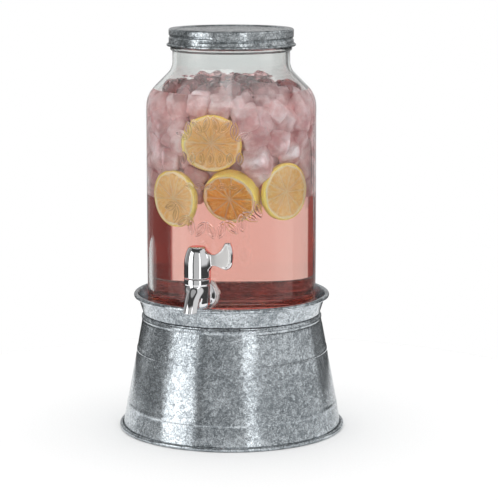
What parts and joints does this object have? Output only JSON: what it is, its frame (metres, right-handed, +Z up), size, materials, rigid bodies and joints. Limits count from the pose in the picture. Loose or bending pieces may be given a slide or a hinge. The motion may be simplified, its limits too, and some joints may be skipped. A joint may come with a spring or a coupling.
{
  "type": "beverage dispenser",
  "caption": "Glass jar drink dispenser with a turning-lever spigot and a screw lid, standing on an upturned galvanised tub with a flared collar.",
  "frame": {"origin": "axis of the stand, on the table that the rolled foot rests on", "axes": "+Z up along the jar; -Y is the way the tap faces; +X is the way the shut lever points"},
  "size_m": [0.2426, 0.2598, 0.428],
  "materials": {
    "galvanised": "satin",
    "steel_wire": "satin",
    "glass": "gloss",
    "drink": "gloss",
    "ice": "gloss",
    "lemon": "satin",
    "gasket": "satin",
    "chrome": "polished",
    "plug": "satin",
    "seal": "matte",
    "clear_washer": "satin",
    "nut": "gloss"
  },
  "bodies": {
    "stand": {"stand_wall": "galvanised", "stand_floor": "galvanised", "stand_collar": "galvanised", "stand_foot_wire": "steel_wire", "stand_rim_wire": "steel_wire"},
    "jar": {"jar": "glass", "drink": "drink", "ice_cubes": "ice", "lemon_slice_1": "lemon", "lemon_slice_2": "lemon", "lemon_slice_3": "lemon", "lemon_slice_4": "lemon", "tap_body": "chrome", "tap_outer_washer": "clear_washer", "tap_inner_washer": "clear_washer", "tap_nut": "nut"},
    "lid_seal": {"lid_gasket": "gasket"},
    "lid": {"lid_shell": "galvanised"},
    "tap_valve": {"tap_handle": "chrome", "tap_plug": "plug", "tap_o_rings": "seal"}
  },
  "joints": [
    {"name": "jar_lift", "type": "slide", "parent": "stand", "child": "jar", "axis": [0, 0, 1], "range_m": [0, 0.1]},
    {"name": "lid_lift", "type": "slide", "parent": "jar", "child": "lid_seal", "axis": [0, 0, 1], "range_m": [0, 0.12]},
    {"name": "lid_turn", "type": "hinge", "parent": "lid_seal", "child": "lid", "pos_m": [0, 0, 0.4265], "axis": [0, 0, 1], "range_deg": [0, 400]},
    {"name": "tap_turn", "type": "hinge", "parent": "jar", "child": "tap_valve", "pos_m": [0, -0.109, 0.18], "axis": [0, 0, 1], "range_deg": [-90, 0]}
  ]
}
